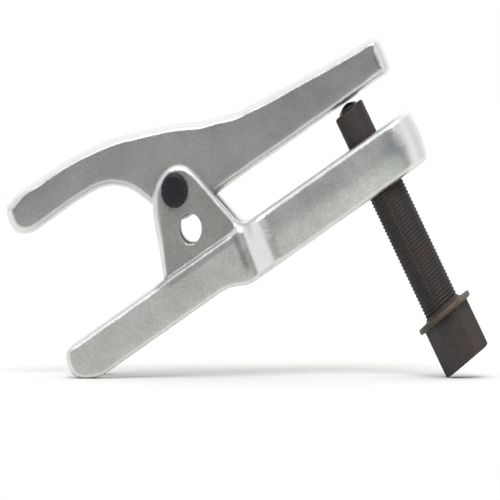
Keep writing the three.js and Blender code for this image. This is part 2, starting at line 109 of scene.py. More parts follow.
class Field:
    """A distance on a flat grid, slightly softened, read with cubic B-splines so that it is smooth."""

    def __init__(self, loop, x0, x1, y0, y1, h=0.4, soften=0.0):
        self.x0, self.y0, self.h = x0, y0, h
        self.nx, self.ny = int((x1 - x0) / h) + 2, int((y1 - y0) / h) + 2
        gx, gy = np.meshgrid(x0 + h * np.arange(self.nx), y0 + h * np.arange(self.ny), indexing="ij")
        data = loop_distance(gx.ravel(), gy.ravel(), loop).reshape(gx.shape)
        if soften > 0:
            k = np.arange(-8, 9) * h
            w = np.exp(-0.5 * (k / soften) ** 2)
            w /= w.sum()
            for axis in (0, 1):
                pad = [(8, 8) if i == axis else (0, 0) for i in (0, 1)]
                big = np.pad(data, pad, mode="reflect", reflect_type="odd")
                n = data.shape[axis]
                data = sum(w[i] * (big[i:i + n] if axis == 0 else big[:, i:i + n]) for i in range(17))
        self.data = data.ravel()

    def at(self, x, y):
        shape = np.broadcast(x, y).shape
        fx = np.broadcast_to((np.asarray(x) - self.x0) / self.h, shape)
        fy = np.broadcast_to((np.asarray(y) - self.y0) / self.h, shape)
        ix = np.clip(np.floor(fx).astype(np.int64), 1, self.nx - 3)
        iy = np.clip(np.floor(fy).astype(np.int64), 1, self.ny - 3)
        wx, wy = self.weights(fx - ix), self.weights(fy - iy)
        out = np.zeros(shape)
        for i in range(4):
            row = (ix + i - 1) * self.ny + iy - 1
            out += wx[i] * sum(wy[j] * self.data[row + j] for j in range(4))
        return out

    @staticmethod
    def weights(t):
        t = np.clip(t, -0.5, 1.5)
        return ((1 - t) ** 3 / 6, (3 * t ** 3 - 6 * t ** 2 + 4) / 6,
                (-3 * t ** 3 + 3 * t ** 2 + 3 * t + 1) / 6, t ** 3 / 6)


def rounded_max(a, b, r):
    """Both at once, with an edge of radius r between them."""
    a, b = a + r, b + r
    return np.minimum(np.maximum(a, b), 0) + np.sqrt(np.maximum(a, 0) ** 2 + np.maximum(b, 0) ** 2) - r


def soft_min(a, b, k):
    """Either, with a fillet between them."""
    h = np.maximum(k - np.abs(a - b), 0) / k
    return np.minimum(a, b) - h * h * k * 0.25


def smooth_step(t):
    t = np.clip(t, 0, 1)
    return t * t * (3 - 2 * t)


def waviness(x, y, z, amount):
    """The slow unevenness of a forged surface."""
    out = 0.0
    for k, (a, b, c, p) in enumerate([(0.31, 0.17, 0.23, 0.4), (-0.22, 0.33, 0.41, 2.1), (0.52, -0.29, 0.13, 4.0),
                                      (0.11, 0.61, -0.47, 1.3), (-0.71, 0.21, 0.37, 5.2), (0.43, 0.83, 0.55, 3.3)]):
        out = out + np.sin(a * x + b * y + c * z + p) / (1 + 0.35 * k)
    return out * amount * 0.4


def surface(field, origin, counts, step, steps=3):
    """Quads on the zero level of a distance field, each vertex moved on to it, with its normal."""
    axes = [origin[i] + step * np.arange(counts[i]) for i in range(3)]
    f = field(axes[0][:, None, None], axes[1][None, :, None], axes[2][None, None, :])
    inside = f < 0
    corners = [(i, j, k) for i in (0, 1) for j in (0, 1) for k in (0, 1)]
    cut = lambda g, c: g[c[0]:g.shape[0] - 1 + c[0], c[1]:g.shape[1] - 1 + c[1], c[2]:g.shape[2] - 1 + c[2]]
    total = sum(cut(inside, c).astype(np.int8) for c in corners)
    active = (total > 0) & (total < 8)
    cell = np.stack(np.nonzero(active), 1)
    number = np.full(active.shape, -1, np.int64)
    number[active] = np.arange(len(cell))
    spot, seen = np.zeros((len(cell), 3)), np.zeros(len(cell))
    for a in corners:
        for axis in range(3):
            if a[axis]:
                continue
            b = tuple(v + (i == axis) for i, v in enumerate(a))
            fa = f[cell[:, 0] + a[0], cell[:, 1] + a[1], cell[:, 2] + a[2]]
            fb = f[cell[:, 0] + b[0], cell[:, 1] + b[1], cell[:, 2] + b[2]]
            on = (fa < 0) != (fb < 0)
            t = fa[on] / (fa[on] - fb[on])
            p = np.tile(np.array(a, float), (on.sum(), 1))
            p[:, axis] += t
            spot[on] += p
            seen[on] += 1
    v = (cell + spot / seen[:, None]) * step + np.array(origin)
    quads = []
    for axis in range(3):
        lo = [slice(None)] * 3
        hi = [slice(None)] * 3
        lo[axis], hi[axis] = slice(0, -1), slice(1, None)
        a, b = inside[tuple(lo)], inside[tuple(hi)]
        at = np.stack(np.nonzero(a != b), 1)
        o1, o2 = (axis + 1) % 3, (axis + 2) % 3
        ok = (at[:, o1] > 0) & (at[:, o2] > 0) & (at[:, o1] < counts[o1] - 1) & (at[:, o2] < counts[o2] - 1)
        at = at[ok]
        out = a[at[:, 0], at[:, 1], at[:, 2]]
        ids = []
        for d1, d2 in ((-1, -1), (0, -1), (0, 0), (-1, 0)):
            c = at.copy()
            c[:, o1] += d1
            c[:, o2] += d2
            ids.append(number[c[:, 0], c[:, 1], c[:, 2]])
        q = np.stack(ids, 1)
        q[~out] = q[~out][:, ::-1]
        quads.append(q)
    quads = np.concatenate(quads)

    def slope(p, h=0.04):
        g = np.empty_like(p)
        for i in range(3):
            d = np.zeros(3)
            d[i] = h
            hi_p, lo_p = p + d, p - d
            g[:, i] = (field(hi_p[:, 0], hi_p[:, 1], hi_p[:, 2]) - field(lo_p[:, 0], lo_p[:, 1], lo_p[:, 2])) / (2 * h)
        return g

    for _ in range(steps):
        g = slope(v)
        value = field(v[:, 0], v[:, 1], v[:, 2])
        move = value / np.maximum((g * g).sum(1), 0.25)
        v = v - g * np.clip(move, -0.4 * step, 0.4 * step)[:, None]
    g = slope(v, 0.1)
    g /= np.maximum(np.linalg.norm(g, axis=1), 1e-9)[:, None]
    return v, quads, g


def make_mesh(name, co_mm, faces, normals=None):
    """A mesh in metres from millimetres in the row frame; faces is an array of quads or a list."""
    me = bpy.data.meshes.new(name)
    co = np.asarray(co_mm, float) * MM
    if isinstance(faces, np.ndarray):
        n = len(faces)
        me.vertices.add(len(co))
        me.vertices.foreach_set("co", co.ravel())
        me.loops.add(n * 4)
        me.loops.foreach_set("vertex_index", faces.ravel().astype(np.int32))
        me.polygons.add(n)
        me.polygons.foreach_set("loop_start", np.arange(0, n * 4, 4, dtype=np.int32))
        me.update(calc_edges=True)
        me.validate()
    else:
        me.from_pydata(co.tolist(), [], faces)
    me.polygons.foreach_set("use_smooth", [True] * len(me.polygons))
    if normals is not None and len(me.vertices) == len(normals):
        me.normals_split_custom_set_from_vertices([tuple(n) for n in normals])
    me.update()
    return me


def put(name, mesh, material, body, slot, *nodes):
    o = bpy.data.objects.new(name, mesh)
    bpy.context.collection.objects.link(o)
    o.data.materials.append(material)
    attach(o, body)
    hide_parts(*nodes)
    return o


# ---------------------------------------------------------------- materials
class Nodes:
    def __init__(self, name):
        self.m = bpy.data.materials.new(name)
        self.m.use_nodes = True
        self.t = self.m.node_tree
        self.p = self.t.nodes["Principled BSDF"]
        self.geo = self.t.nodes.new("ShaderNodeNewGeometry")
        self.tc = self.t.nodes.new("ShaderNodeTexCoord")

    def new(self, kind, **props):
        n = self.t.nodes.new(kind)
        for k, v in props.items():
            setattr(n, k, v)
        return n

    def link(self, a, b):
        self.t.links.new(a, b)

    def noise(self, scale, detail=3.0, rough=0.55, distortion=0.0):
        """scale is in lumps per metre."""
        n = self.new("ShaderNodeTexNoise")
        n.inputs["Scale"].default_value = scale
        n.inputs["Detail"].default_value = detail
        n.inputs["Roughness"].default_value = rough
        n.inputs["Distortion"].default_value = distortion
        self.link(self.tc.outputs["Object"], n.inputs["Vector"])
        return n.outputs["Fac"]

    def cells(self, scale, feature="F1"):
        n = self.new("ShaderNodeTexVoronoi", feature=feature)
        n.inputs["Scale"].default_value = scale
        self.link(self.tc.outputs["Object"], n.inputs["Vector"])
        return n.outputs["Distance"]

    def ramp(self, fac, lo, hi, a=0.0, b=1.0):
        n = self.new("ShaderNodeMapRange")
        n.inputs["From Min"].default_value, n.inputs["From Max"].default_value = lo, hi
        n.inputs["To Min"].default_value, n.inputs["To Max"].default_value = a, b
        self.link(fac, n.inputs["Value"])
        return n.outputs["Result"]

    def math(self, op, a, b=None):
        n = self.new("ShaderNodeMath", operation=op)
        for i, v in enumerate((a, b)):
            if v is None:
                continue
            if isinstance(v, (int, float)):
                n.inputs[i].default_value = v
            else:
                self.link(v, n.inputs[i])
        return n.outputs[0]

    def dot(self, a, b):
        n = self.new("ShaderNodeVectorMath", operation="DOT_PRODUCT")
        self.link(a, n.inputs[0])
        n.inputs[1].default_value = b
        return n.outputs["Value"]

    def mix(self, fac, a, b, kind="MIX"):
        n = self.new("ShaderNodeMix", data_type="RGBA", blend_type=kind)
        for i, v in ((0, fac), (6, a), (7, b)):
            if isinstance(v, (int, float)):
                n.inputs[i].default_value = v
            elif isinstance(v, tuple):
                n.inputs[i].default_value = (*v, 1.0)
            else:
                self.link(v, n.inputs[i])
        return n.outputs[2]

    def bump(self, height, distance, strength=1.0, normal=None):
        n = self.new("ShaderNodeBump")
        n.inputs["Strength"].default_value = strength
        n.inputs["Distance"].default_value = distance
        self.link(height, n.inputs["Height"])
        if normal is not None:
            self.link(normal, n.inputs["Normal"])
        return n.outputs["Normal"]


def forged_metal(name, colour, rim_highlight, rough, grain=1.0, web=None):
    """Satin plated forging: shot-blasted sides, a painted highlight in a lighter colour on the rounded edges and on
    every face that doesn't face sideways, faint mottling under the plating.
    web is a darker colour for the lugs, all that stands above the top face of the fork body."""
    s = Nodes(name)
    slow = s.noise(38, 2.0, 0.5)
    mid = s.noise(190, 3.0, 0.6)
    fine = s.noise(900, 3.0, 0.65)
    pits = s.ramp(s.cells(620), 0.0, 0.34)
    dark = tuple(c * 0.90 for c in colour)
    light = tuple(min(1.0, c * 1.10) for c in colour)
    base = s.mix(s.ramp(slow, 0.3, 0.7), dark, light)
    base = s.mix(s.ramp(mid, 0.35, 0.65, 0.0, 0.55), base, tuple(c * 0.80 for c in colour))
    base = s.mix(s.ramp(fine, 0.42, 0.6, 0.30, 0.0), base, tuple(c * 0.55 for c in colour))
    if web is not None:
        height = s.dot(s.tc.outputs["Object"], (-SIN_B, 0.0, COS_B))
        along = s.dot(s.tc.outputs["Object"], (COS_B, 0.0, SIN_B))
        above_top_face = s.ramp(height, (TOP_N - 0.8) * MM, (TOP_N + 0.4) * MM)
        base = s.mix(above_top_face, base, s.mix(1.0, base, tuple(w / c for w, c in zip(web, colour)), "MULTIPLY"))
        # shade held in the corner under the lug and in the hollow before the shoulder
        under = s.math("MULTIPLY", s.ramp(s.math("ABSOLUTE", s.math("SUBTRACT", height, 50.8 * MM)), 1.6 * MM, 0.5 * MM),
                       s.math("MULTIPLY", s.ramp(along, -21 * MM, -17 * MM), s.ramp(along, 23 * MM, 19 * MM)))
        hollow = s.math("MULTIPLY", s.ramp(s.math("ABSOLUTE", s.math("SUBTRACT", along, 21.4 * MM)), 2.6 * MM, 0.4 * MM),
                        s.ramp(height, 35 * MM, 39 * MM))
        hollow = s.math("MULTIPLY", hollow, s.ramp(height, 54 * MM, 51 * MM))
        base = s.mix(s.math("MULTIPLY", under, 0.65), base, tuple(c * 0.5 for c in colour))
        base = s.mix(s.math("MULTIPLY", hollow, 0.9), base, tuple(c * 0.42 for c in colour))
        # painted reflection: a dark patch, bluish above and greenish below, on the side of the beam where it starts to
        # curve round its end
        du, dn = s.math("SUBTRACT", along, 110.0 * MM), s.math("SUBTRACT", height, 43.0 * MM)
        away = s.math("SQRT", s.math("ADD", s.math("MULTIPLY", du, du), s.math("MULTIPLY", s.math("MULTIPLY", dn, dn), 0.30)))
        dark_end_reflection = s.math("MULTIPLY", s.ramp(away, 9.5 * MM, 1 * MM), s.ramp(slow, 0.30, 0.55, 0.8, 1.0))
        tone = s.mix(s.ramp(height, 39 * MM, 46 * MM), (0.36, 0.40, 0.38), (0.28, 0.285, 0.33))
        base = s.mix(s.math("MULTIPLY", dark_end_reflection, 0.85), base, tone)
    across = s.math("ABSOLUTE", s.dot(s.tc.outputs["Normal"], (0.0, 1.0, 0.0)))
    # painted shade: darker on faces turned a little away from the side, the drafted faces and the start of each rounded
    # edge
    line = s.math("MULTIPLY", s.ramp(across, 0.9995, 0.988), s.ramp(across, 0.90, 0.95))
    base = s.mix(s.math("MULTIPLY", line, 0.55 if web is None else 0.30), base, tuple(c * 0.55 for c in colour))
    # painted highlight: edge is 1 on faces that don't face sideways, the rounded edges, tops, undersides and ends
    edge = s.math("MULTIPLY", s.ramp(across, 0.955, 0.80), s.ramp(mid, 0.25, 0.75, 1.0, 0.82))
    if web is not None:
        # painted shade: darker on the ledge under the lugs, and no painted highlight of the edges there or inside the
        # spare hole, which leaves both a little rougher
        ledge = s.math("MULTIPLY", s.ramp(s.math("ABSOLUTE", s.math("SUBTRACT", height, 53.3 * MM)), 1.7 * MM, 0.9 * MM),
                       s.math("MULTIPLY", s.ramp(along, -27 * MM, -23 * MM), s.ramp(along, 20 * MM, 15 * MM)))
        dx = s.math("SUBTRACT", s.dot(s.tc.outputs["Object"], (1.0, 0.0, 0.0)), float(SPARE_X + SHIFT[0]) * MM)
        dz = s.math("SUBTRACT", s.dot(s.tc.outputs["Object"], (0.0, 0.0, 1.0)), float(SPARE_Z + SHIFT[2]) * MM)
        ring = s.math("SQRT", s.math("ADD", s.math("MULTIPLY", dx, dx), s.math("MULTIPLY", dz, dz)))
        inside = s.ramp(ring, 7.3 * MM, 6.8 * MM)
        base = s.mix(s.math("MULTIPLY", edge, s.math("MULTIPLY", ledge, 0.9)), base, tuple(c * 0.62 for c in colour))
        edge = s.math("MULTIPLY", edge, s.math("SUBTRACT", 1.0, s.math("MULTIPLY", ledge, 0.92)))
        edge = s.math("MULTIPLY", edge, s.math("SUBTRACT", 1.0, s.math("MULTIPLY", inside, 0.85)))
        # painted light: the beam's side lighter towards its lower edge, where it reflects the floor, with painted shade
        # darker in its upper half
        fall = s.math("MULTIPLY", s.ramp(along, 55 * MM, 90 * MM), s.ramp(height, 45.0 * MM, 36.0 * MM))
        base = s.mix(fall, base, s.mix(1.0, base, (1.16, 1.16, 1.15), "MULTIPLY"))
        rise = s.math("MULTIPLY", s.ramp(along, 27 * MM, 34 * MM), s.ramp(height, 40.0 * MM, 47.0 * MM))
        base = s.mix(s.math("MULTIPLY", rise, s.ramp(along, 96 * MM, 60 * MM)), base, s.mix(1.0, base, (0.86, 0.86, 0.87), "MULTIPLY"))
    # painted highlight: the lighter colour of the rounded edges laid on by edge
    base = s.mix(edge, base, rim_highlight)
    s.link(base, s.p.inputs["Base Color"])
    s.p.inputs["Metallic"].default_value = 1.0
    r = s.math("ADD", s.ramp(mid, 0.3, 0.7, rough - 0.03, rough + 0.05), s.ramp(slow, 0.3, 0.7, -0.02, 0.02))
    r = s.math("SUBTRACT", r, s.math("MULTIPLY", edge, 0.02))
    s.link(r, s.p.inputs["Roughness"])
    n = s.bump(mid, 0.00022 * grain, 0.5)
    n = s.bump(fine, 0.00009 * grain, 0.55, n)
    n = s.bump(pits, 0.00005 * grain, 0.4, n)
    s.link(n, s.p.inputs["Normal"])
    return s.m


def oxide_steel(name, colour, rust, rough=0.5, rust_amount=0.35, metal=0.7, collar=False):
    """Blacked steel handled with oil: brown bloom in patches, paler rubbed edges, fine tool grain."""
    s = Nodes(name)
    slow = s.noise(70, 3.0, 0.6, 0.4)
    mid = s.noise(420, 4.0, 0.65)
    fine = s.noise(2200, 2.0, 0.6)
    base = s.mix(s.ramp(mid, 0.35, 0.65), tuple(c * 0.86 for c in colour), tuple(c * 1.18 for c in colour))
    patch = s.math("MULTIPLY", s.ramp(slow, 0.48, 0.68), s.ramp(mid, 0.32, 0.6))
    base = s.mix(s.math("MULTIPLY", patch, rust_amount), base, rust)
    if collar:      # rust that sits on the collar of the screw, with painted highlights on it, and the thread darker along its length
        at = s.dot(s.tc.outputs["Object"], (-SIN_S, 0.0, COS_S))
        top = (-(SCREW_X + SHIFT[0]) * SIN_S + (SCREW_Z + SHIFT[2]) * COS_S + THREAD_TOP_Z) * MM
        thread_darker = s.math("MULTIPLY", s.ramp(at, float(top) + 0.002, float(top)), s.ramp(at, float(top) - 0.0735, float(top) - 0.0715))
        base = s.mix(s.math("MULTIPLY", thread_darker, 1.0), base, s.mix(1.0, base, (0.70, 0.70, 0.72), "MULTIPLY"))
        here = (-(SCREW_X + SHIFT[0]) * SIN_S + (SCREW_Z + SHIFT[2]) * COS_S + COLLAR_TOP_Z - 1.2) * MM
        band = s.ramp(s.math("ABSOLUTE", s.math("SUBTRACT", at, float(here))), 2.0 * MM, 1.3 * MM)
        band = s.math("MULTIPLY", band, s.ramp(mid, 0.3, 0.65, 0.45, 1.0))
        mid_x = ((SCREW_X + SHIFT[0]) * COS_S + (SCREW_Z + SHIFT[2]) * SIN_S) * MM
        side_x = s.math("SUBTRACT", s.dot(s.tc.outputs["Object"], (COS_S, 0.0, SIN_S)), float(mid_x))
        # painted highlight: the collar paler at its two sides, where its round turns away, and lighter towards the
        # right
        pale = s.math("MAXIMUM", s.ramp(side_x, 9.0 * MM, 12.0 * MM), s.ramp(side_x, -11.0 * MM, -13.0 * MM, 0.0, 0.6))
        tan = s.mix(s.ramp(side_x, -6.0 * MM, 3.0 * MM), (0.085, 0.062, 0.050), (0.135, 0.088, 0.058))
        tan = s.mix(pale, tan, (0.185, 0.175, 0.140))
        base = s.mix(s.math("MULTIPLY", band, 0.9), base, tan)
        bloom = s.math("MULTIPLY", s.ramp(at, float(here) + 0.012, float(here) + 0.002), s.ramp(at, float(here), float(here) + 0.002))
        base = s.mix(s.math("MULTIPLY", bloom, s.ramp(slow, 0.35, 0.6, 0.15, 0.6)), base, (0.060, 0.038, 0.028))
    edge = s.ramp(s.geo.outputs["Pointiness"], 0.52, 0.60)
    base = s.mix(s.math("MULTIPLY", edge, 0.30), base, (0.17, 0.155, 0.14))
    s.link(base, s.p.inputs["Base Color"])
    s.p.inputs["Metallic"].default_value = metal
    s.link(s.math("ADD", s.ramp(mid, 0.3, 0.7, rough - 0.06, rough + 0.06), s.math("MULTIPLY", patch, 0.12)),
           s.p.inputs["Roughness"])
    n = s.bump(mid, 0.00008, 0.5)
    n = s.bump(fine, 0.00003, 0.5, n)
    s.link(n, s.p.inputs["Normal"])
    return s.m


MAT_BODY = forged_metal("forged_body", (0.63, 0.63, 0.61), (0.76, 0.765, 0.75), 0.37, 1.4, (0.395, 0.395, 0.38))
MAT_ARM = forged_metal("forged_arm", (0.425, 0.425, 0.415), (0.76, 0.765, 0.75), 0.38, 1.4)
MAT_PIN = oxide_steel("black_pin", (0.010, 0.010, 0.014), (0.03, 0.028, 0.03), 0.42, 0.2, 0.4)
MAT_SPRING = oxide_steel("spring_steel", (0.05, 0.05, 0.055), (0.08, 0.06, 0.05), 0.38, 0.2, 0.8)
MAT_SCREW = oxide_steel("black_screw", (0.043, 0.038, 0.037), (0.100, 0.060, 0.045), 0.6, 0.5, 0.6, True)
MAT_THRUST = oxide_steel("thrust_steel", (0.085, 0.078, 0.068), (0.10, 0.07, 0.05), 0.4, 0.3, 0.9)


# ---------------------------------------------------------------- fork body
def half(points):
    return points + [(u, -y) for u, y in reversed(points)]


shoulder = arc(SHOULDER_U - 1, FORK_HALF - 4, 4, 90, 40, 6) + [
    (BEAM_START_U - 2, 15.2), (BEAM_START_U + 1.5, BEAM_HALF + 0.15), (BEAM_START_U + 6, BEAM_HALF)]
plan = (arc(TIP_U + 7, FORK_HALF - 7, 7, 180, 90, 12) + [(TIP_U + 20, FORK_HALF), (SHOULDER_U - 2, FORK_HALF)] + shoulder
        + arc(BEAM_END_U - BEAM_HALF, 0, BEAM_HALF, 90, -90, 36) + [(u, -y) for u, y in reversed(shoulder)]
        + [(SHOULDER_U - 2, -FORK_HALF), (TIP_U + 20, -FORK_HALF)] + arc(TIP_U + 7, -(FORK_HALF - 7), 7, -90, -180, 12)
        + arc(TIP_U + 3, -(SLOT_HALF + 3), 3, 180, 90, 6) + arc(CROTCH_U - SLOT_HALF, 0, SLOT_HALF, -90, 90, 24)
        + arc(TIP_U + 3, SLOT_HALF + 3, 3, -90, -180, 6))
side = [(-75.4, TOP_N), (-77.6, 52.8), (-79.1, 50.9), (-79.9, 47.8), (-79.4, 44.4), (-77.9, 41.9), (-75.3, 39.95),
        (-72.5, 38.4), (-69, 36.95), (-65.5, RAIL_BOTTOM_N + 0.1), (-64, RAIL_BOTTOM_N), (5, RAIL_BOTTOM_N), (9, 35.4),
        (13, 34.0), (17, 32.4), (20.5, 31.6), (24.5, BEAM_BOTTOM_N), (27, BEAM_BOTTOM_N), (140, BEAM_BOTTOM_N), (140, TOP_N)]
ear = smooth_loop([(-22.0, 76.1), (-26.8, 80.1), (-32.0, 82.85), (-37.6, 82.95), (-42.6, 80.95), (-46.6, 77.0),
                   (-48.6, 72.4), (-48.7, 66.6), (-48.0, 61.2), (-45.65, 51.4), (-43.3, 41.6), (-41.0, 34.0),
                   (0.0, 54.0), (-1.2, 58.6), (-4.2, 60.6), (-8.6, 64.45), (-17.6, 72.3)], 6)

F_PLAN = Field(plan, -86, 128, -26, 26, 0.4, 0.8)
F_SIDE = Field(side, -86, 128, 27, 96, 0.4, 0.35)
F_EAR = Field(ear, -90, 80, -10, 140, 0.5, 0.3)


def body_field(u, y, n):
    x, z = u * COS_B - n * SIN_B, u * SIN_B + n * COS_B
    ay = np.abs(y)
    off = n - PARTING_N
    beam = smooth_step((u - 18.0) / 26.0)
    draft = (0.030 + 0.090 * beam) * (np.sqrt(off * off + 16.0) - 4.0)
    flash = 0.06 * np.exp(-(off / 1.2) ** 2) * (np.exp(-((u - 30.0) / 9.0) ** 2) + np.exp(-((u - 119.0) / 8.0) ** 2))
    wall = F_PLAN.at(u, y) + draft - flash
    e2 = F_EAR.at(x, z)
    block = rounded_max(wall, F_SIDE.at(u, n), 2.6 - 0.9 * smooth_step((4.0 - e2) / 6.0) * smooth_step((26.0 - u) / 6.0))
    lug = rounded_max(e2, ay - EAR_OUTER, 2.5 + 2.2 * smooth_step((-39.5 - x) / 6.0))
    lug = rounded_max(lug, EAR_INNER - ay, 1.8)
    f = soft_min(block, lug, 1.2 + 3.4 * smooth_step((x + 9.0) / 6.0))
    pocket = rounded_max(rounded_max(POCKET_N - n, ay - EAR_INNER, 1.0), np.maximum(-25 - u, u - 17.5), 1.0)
    f = rounded_max(f, -pocket, 0.8)
    f = rounded_max(f, PIN_BORE_R - np.hypot(x - PIN_X, z - PIN_Z), 0.5)
    f = rounded_max(f, SPARE_BORE_R + np.where(y > 0, 0.6, 0.0) - np.hypot(x - SPARE_X, z - SPARE_Z), 0.35)
    sx = (x - SCREW_X) * COS_S + (z - SCREW_Z) * SIN_S
    f = rounded_max(f, 9.75 - np.sqrt(sx * sx + y * y), 0.7)
    return f + waviness(u, y, n, 0.05)


u0, y0, n0 = -82.0, -23.6, 29.0
counts = (int(207.6 / STEP) + 1, int(47.2 / STEP) + 2, int(65.5 / STEP) + 1)
v, q, g = surface(body_field, (u0, y0, n0), counts, STEP)


def body_to_row(a):
    return np.stack([a[:, 0] * COS_B - a[:, 2] * SIN_B, a[:, 1], a[:, 0] * SIN_B + a[:, 2] * COS_B], 1)


body_mesh = make_mesh("lower_body_forging", body_to_row(v) + SHIFT, q, body_to_row(g))
put("lower_body_forging", body_mesh, MAT_BODY, "frame", "forged_body", "lower_body")

# ---------------------------------------------------------------- rocking arm
arm_outline = smooth_loop([
    (-123.4, 67.9), (-117.6, 72.4), (-108.0, 76.9), (-99.6, 81.4), (-91.4, 85.1), (-83.0, 88.4), (-74.7, 91.2),
    (-66.5, 93.5), (-58.2, 95.0), (-49.9, 96.5), (-41.6, 97.9), (-33.3, 98.8), (-25.0, 99.3), (-16.7, 101.0),
    (-8.4, 102.5), (-4.2, 103.6), (0.0, 105.3), (8.2, 108.2), (16.5, 111.6), (24.8, 115.2), (33.1, 118.6),
    (41.4, 122.1), (49.7, 125.7), (58.0, 129.3), (62.2, 131.3),
    (65.4, 132.15), (67.2, 131.8), (68.6, 130.1), (70.9, 126.4), (73.0, 122.6), (73.5, 120.7), (73.0, 119.2),
    (70.6, 117.6), (66.2, 115.3), (58.0, 110.9), (50.0, 106.55), (41.4, 101.9), (33.1, 97.6), (24.8, 93.1),
    (16.5, 88.8), (8.2, 84.6), (0.0, 80.2), (-8.4, 75.7), (-16.4, 71.3), (-23.2, 67.2),
    (-28.0, 63.8), (-32.6, 61.7), (-37.2, 61.0), (-42.0, 62.0), (-46.3, 64.6), (-50.6, 67.6),
    (-54.4, 69.9), (-58.5, 72.1), (-62.6, 73.6), (-66.7, 74.2), (-70.6, 74.4), (-74.7, 73.9), (-79.0, 72.7),
    (-83.0, 71.0), (-91.4, 67.0), (-99.6, 62.5), (-103.8, 60.2), (-108.0, 58.0), (-112.2, 56.2), (-116.2, 55.6),
    (-119.6, 56.0), (-121.9, 57.4), (-124.3, 61.0), (-125.4, 64.6), (-125.0, 66.4)], 4)
F_ARM = Field(arm_outline, -130, 79, 50, 137, 0.5, 0.6)


def arm_field(x, y, z):
    ay = np.abs(y)
    draft = 0.112 * (np.sqrt(y * y + 0.09) - 0.3)
    flash = 0.20 * np.exp(-(y / 0.45) ** 2) * (1 - smooth_step((x - 12.0) / 18.0))      # dressed off at the pad
    facing = (F_ARM.at(x, z + 0.6) - F_ARM.at(x, z - 0.6)) / 1.2
    ahead = np.clip((F_ARM.at(x + 0.6, z) - F_ARM.at(x - 0.6, z)) / 1.2, 0, 1)
    edge = 2.4 - 0.6 * facing + 3.6 * ahead ** 2 * smooth_step((x - 60.0) / 8.0) + 1.6 * smooth_step((-113.0 - x) / 9.0)
    f = rounded_max(F_ARM.at(x, z) + draft - flash, ay - ARM_HALF, edge)
    f = rounded_max(f, 6.35 - np.hypot(x - PIN_X, z - PIN_Z), 0.5)
    return f + waviness(x + 40, y, z, 0.05)


counts = (int(204.0 / STEP) + 1, int(22.8 / STEP) + 2, int(81.5 / STEP) + 1)
v, q, g = surface(arm_field, (-127.5, -11.4, 53.5), counts, STEP)
arm_mesh = make_mesh("upper_arm_forging", v + SHIFT, q, g)
put("upper_arm_forging", arm_mesh, MAT_ARM, "arm", "forged_arm", "upper_arm")


# ---------------------------------------------------------------- turned pieces
def fillet(points, radii, steps=4):
    """Rounds the inner corners of an open polyline."""
    out = [points[0]]
    for i in range(1, len(points) - 1):
        r = radii if isinstance(radii, (int, float)) else radii[i]
        p, a, b = (np.array(points[k], float) for k in (i, i - 1, i + 1))
        da, db = a - p, b - p
        la, lb = np.hypot(*da), np.hypot(*db)
        if r <= 0 or la < 1e-6 or lb < 1e-6:
            out.append(tuple(p))
            continue
        da, db = da / la, db / lb
        ang = math.acos(max(-1, min(1, float(da @ db))))
        if ang > rad(174) or ang < rad(6):
            out.append(tuple(p))
            continue
        cut = min(r / math.tan(ang / 2), 0.45 * la, 0.45 * lb)
        r2 = cut * math.tan(ang / 2)
        mid = (da + db) / np.hypot(*(da + db))
        c = p + mid * (r2 / math.sin(ang / 2))
        s, e = p + da * cut - c, p + db * cut - c
        turn = math.atan2(s[0] * e[1] - s[1] * e[0], float(s @ e))
        for k in range(steps + 1):
            t = turn * k / steps
            out.append((c[0] + s[0] * math.cos(t) - s[1] * math.sin(t), c[1] + s[0] * math.sin(t) + s[1] * math.cos(t)))
    out.append(points[-1])
    return out


def spin_rows(rows, count):
    """rows are (r, z), each a number or one value for each of count angles; a row of r = 0 is a pole."""
    ang = 2 * np.pi * np.arange(count) / count
    verts, faces, start = [], [], []
    for r, z in rows:
        start.append(len(verts))
        if np.ndim(r) == 0 and r == 0:
            verts.append((0.0, 0.0, float(z)))
            continue
        r, z = np.broadcast_to(r, count), np.broadcast_to(z, count)
        verts += list(zip(r * np.cos(ang), r * np.sin(ang), z))
    start.append(len(verts))
    for k in range(len(rows) - 1):
        a, b, c = start[k], start[k + 1], start[k + 2] if k + 2 < len(start) else len(verts)
        pole_a, pole_b = b - a == 1, c - b == 1
        for i in range(count):
            j = (i + 1) % count
            if pole_a and not pole_b:
                faces.append((a, b + j, b + i))
            elif pole_b and not pole_a:
                faces.append((a + i, a + j, b))
            elif not pole_a:
                faces.append((a + i, a + j, b + j, b + i))
    return verts, faces


def finish_mesh(name, verts, faces, place, sharp=35):
    """place turns local millimetres into the row frame; coincident vertices are joined and the normals face out."""
    me = make_mesh(name, place(np.array(verts, float)), faces)
    bm = bmesh.new()
    bm.from_mesh(me)
    bmesh.ops.remove_doubles(bm, verts=bm.verts, dist=2e-7)
    bmesh.ops.dissolve_degenerate(bm, dist=1e-8, edges=bm.edges)
    bmesh.ops.recalc_face_normals(bm, faces=bm.faces)
    if bm.calc_volume(signed=True) < 0:
        bmesh.ops.reverse_faces(bm, faces=bm.faces)
    bm.to_mesh(me)
    bm.free()
    me.polygons.foreach_set("use_smooth", [True] * len(me.polygons))
    me.set_sharp_from_angle(angle=rad(sharp))
    me.update()
    return me


def along_pin(a):
    """Local +z lies along +Y through the pin."""
    return np.stack([a[:, 0] + PIN_X, a[:, 2], -a[:, 1] + PIN_Z], 1) + SHIFT


def along_screw(a):
    return np.stack([a[:, 0] * COS_S - a[:, 2] * SIN_S + SCREW_X, a[:, 1], a[:, 0] * SIN_S + a[:, 2] * COS_S + SCREW_Z],
                    1) + SHIFT


